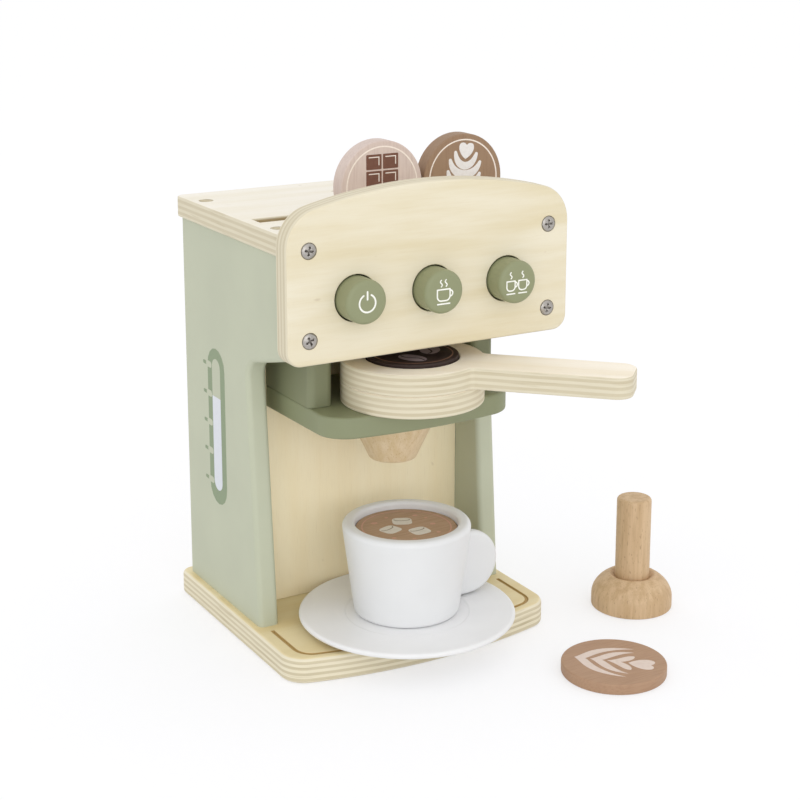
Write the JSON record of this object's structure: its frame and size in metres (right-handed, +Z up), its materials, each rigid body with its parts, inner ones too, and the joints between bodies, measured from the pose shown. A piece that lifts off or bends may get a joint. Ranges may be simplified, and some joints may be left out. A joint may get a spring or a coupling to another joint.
{
  "type": "toy coffee maker",
  "caption": "Wooden toy espresso machine with push buttons, a turning filter holder, coffee discs, a cup on a saucer and a tamper.",
  "frame": {"origin": "middle of the base board's underside, on the plane that the machine, the tamper and the loose disc stand on", "axes": "+X to the right seen from the front, +Y to the back, +Z up"},
  "size_m": [0.2415, 0.2387, 0.2708],
  "materials": {
    "natural_plywood": "birch plywood, clear matt",
    "pale_green_paint": "painted, satin",
    "green_paint": "painted, satin",
    "turned_wood": "beech, sanded",
    "steel": "bright",
    "espresso_paint": "painted, satin",
    "cream_paint": "painted, satin",
    "brown_paint": "painted, satin",
    "tan_paint": "painted, satin",
    "white_lacquer": "lacquered, semi-gloss"
  },
  "bodies": {
    "machine": {"base_board": "natural_plywood", "left_side_panel": "pale_green_paint", "right_side_panel": "pale_green_paint", "alcove_back_panel": "natural_plywood", "ceiling_board": "natural_plywood", "rear_panel": "natural_plywood", "top_board": "natural_plywood", "front_board": "natural_plywood", "button_rail": "natural_plywood", "left_cheek": "green_paint", "right_cheek": "green_paint", "drip_shelf": "green_paint", "spout": "turned_wood", "shelf_dowels": "turned_wood", "top_dowels": "turned_wood", "base_screws": "steel", "front_screws": "steel", "spring_power": "steel", "spring_one_cup": "steel", "spring_two_cups": "steel"},
    "power_button": {"button_power": "green_paint"},
    "one_cup_button": {"button_one_cup": "green_paint"},
    "two_cups_button": {"button_two_cups": "green_paint"},
    "portafilter": {"portafilter_plate": "natural_plywood", "portafilter_disc": "natural_plywood"},
    "espresso_disc": {"pod_espresso": "espresso_paint"},
    "chocolate_disc": {"pod_chocolate": "cream_paint"},
    "tulip_disc": {"pod_tulip": "brown_paint"},
    "saucer": {"saucer": "white_lacquer"},
    "cup": {"cup_body": "white_lacquer", "cup_handle": "white_lacquer"},
    "cocoa_disc": {"pod_cocoa": "brown_paint"},
    "rosette_disc": {"pod_rosette": "tan_paint"},
    "tamper": {"tamper_head": "turned_wood", "tamper_handle": "turned_wood"}
  },
  "joints": [
    {"name": "press_power", "type": "slide", "parent": "machine", "child": "power_button", "axis": [0, 1, 0], "range_m": [0, 0.006], "stiffness_N_per_m": 200, "springref_m": -0.004, "deforming": ["spring_power"]},
    {"name": "press_one_cup", "type": "slide", "parent": "machine", "child": "one_cup_button", "axis": [0, 1, 0], "range_m": [0, 0.006], "stiffness_N_per_m": 200, "springref_m": -0.004, "deforming": ["spring_one_cup"]},
    {"name": "press_two_cups", "type": "slide", "parent": "machine", "child": "two_cups_button", "axis": [0, 1, 0], "range_m": [0, 0.006], "stiffness_N_per_m": 200, "springref_m": -0.004, "deforming": ["spring_two_cups"]},
    {"name": "portafilter_turn", "type": "hinge", "parent": "machine", "child": "portafilter", "pos_m": [0, -0.0528, 0.15], "axis": [0, 0, 1], "range_deg": [-122, 32]},
    {"name": "lift_espresso_disc", "type": "slide", "parent": "portafilter", "child": "espresso_disc", "axis": [0, 0, 1], "range_m": [0, 0.006]},
    {"name": "lift_chocolate_disc", "type": "slide", "parent": "machine", "child": "chocolate_disc", "axis": [0, 0, 1], "range_m": [0, 0.06]},
    {"name": "lift_tulip_disc", "type": "slide", "parent": "machine", "child": "tulip_disc", "axis": [0, 0, 1], "range_m": [0, 0.06]},
    {"name": "slide_saucer", "type": "slide", "parent": "machine", "child": "saucer", "axis": [0, -1, 0], "range_m": [0, 0.02]},
    {"name": "lift_cup", "type": "slide", "parent": "saucer", "child": "cup", "axis": [0, 0, 1], "range_m": [0, 0.018]},
    {"name": "lift_cocoa_disc", "type": "slide", "parent": "cup", "child": "cocoa_disc", "axis": [0, 0, 1], "range_m": [0, 0.012]},
    {"name": "lift_rosette_disc", "type": "slide", "parent": "machine", "child": "rosette_disc", "axis": [0, 0, 1], "range_m": [0, 0.03]},
    {"name": "lift_tamper", "type": "slide", "parent": "machine", "child": "tamper", "axis": [0, 0, 1], "range_m": [0, 0.05]}
  ]
}
